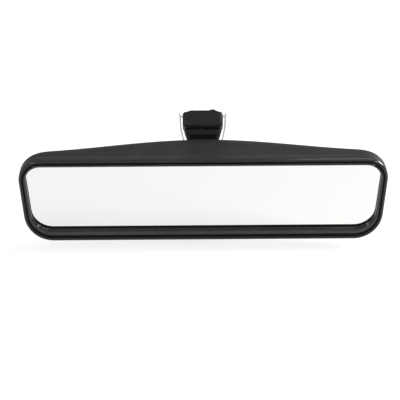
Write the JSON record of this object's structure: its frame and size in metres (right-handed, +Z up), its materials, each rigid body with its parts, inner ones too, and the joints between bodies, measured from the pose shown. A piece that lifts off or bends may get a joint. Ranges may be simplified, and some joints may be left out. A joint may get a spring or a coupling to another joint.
{
  "type": "interior rearview mirror",
  "caption": "Wide interior rearview mirror: prism glass in a domed case, lever-dipped against dazzle, on a ball joint and a clip-on windscreen foot.",
  "frame": {"origin": "middle of the button seat, the flat floor of the channel in the mount shoe", "axes": "+Z up, +X to the right of someone facing the glass, the glass faces -Y; the foot's axis leans 30 degrees from +Z towards +Y"},
  "size_m": [0.2502, 0.0641, 0.0863],
  "materials": {
    "case_plastic": "fine-grained moulded, matte",
    "bezel_plastic": "polished moulded, glossy",
    "foot_plastic": "glass-filled moulded, satin",
    "bracket_plastic": "moulded, satin",
    "lever_plastic": "moulded, satin",
    "liner_nylon": "natural nylon",
    "mirror_glass": "silvered on its back",
    "film": "thin film",
    "foam": "open-cell foam",
    "spring_steel": "rolled spring steel",
    "zinc_steel": "zinc plated"
  },
  "bodies": {
    "foot": {"mount_shoe": "foot_plastic", "spring_clip": "spring_steel", "ball_arm": "foot_plastic", "shoe_screw_upper": "zinc_steel", "shoe_screw_lower": "zinc_steel"},
    "liner": {"socket_liner": "liner_nylon"},
    "ring": {"socket_spring": "spring_steel"},
    "bracket": {"toggle_bracket": "bracket_plastic", "socket_cap": "bracket_plastic", "cap_screw_left": "zinc_steel", "cap_screw_right": "zinc_steel"},
    "head": {"rear_case": "case_plastic", "bezel": "bezel_plastic", "prism_glass": "mirror_glass", "safety_film": "film", "foam_pad_left": "foam", "foam_pad_right": "foam", "pivot_pin": "zinc_steel", "lever_pin": "zinc_steel", "detent_spring": "spring_steel"},
    "lever": {"dipping_lever": "lever_plastic"}
  },
  "joints": [
    {"name": "head_yaw", "type": "hinge", "parent": "foot", "child": "liner", "pos_m": [0, -0.0175, -0.03031], "axis": [0, 0, 1], "range_deg": [-18, 18]},
    {"name": "head_roll", "type": "hinge", "parent": "liner", "child": "ring", "pos_m": [0, -0.0175, -0.03031], "axis": [0, 1, 0], "range_deg": [-7, 7]},
    {"name": "head_pitch", "type": "hinge", "parent": "ring", "child": "bracket", "pos_m": [0, -0.0175, -0.03031], "axis": [1, 0, 0], "range_deg": [-9, 11]},
    {"name": "anti_dazzle_tilt", "type": "hinge", "parent": "bracket", "child": "head", "pos_m": [0, -0.0365, -0.01631], "axis": [1, 0, 0], "range_deg": [-4, 0]},
    {"name": "lever_turn", "type": "hinge", "parent": "head", "child": "lever", "pos_m": [0, -0.0335, -0.05631], "axis": [1, 0, 0], "range_deg": [-44.5, 0.5]}
  ],
  "couplings": [
    {"joint": "lever_turn", "follows": "anti_dazzle_tilt", "ratio": 11}
  ]
}
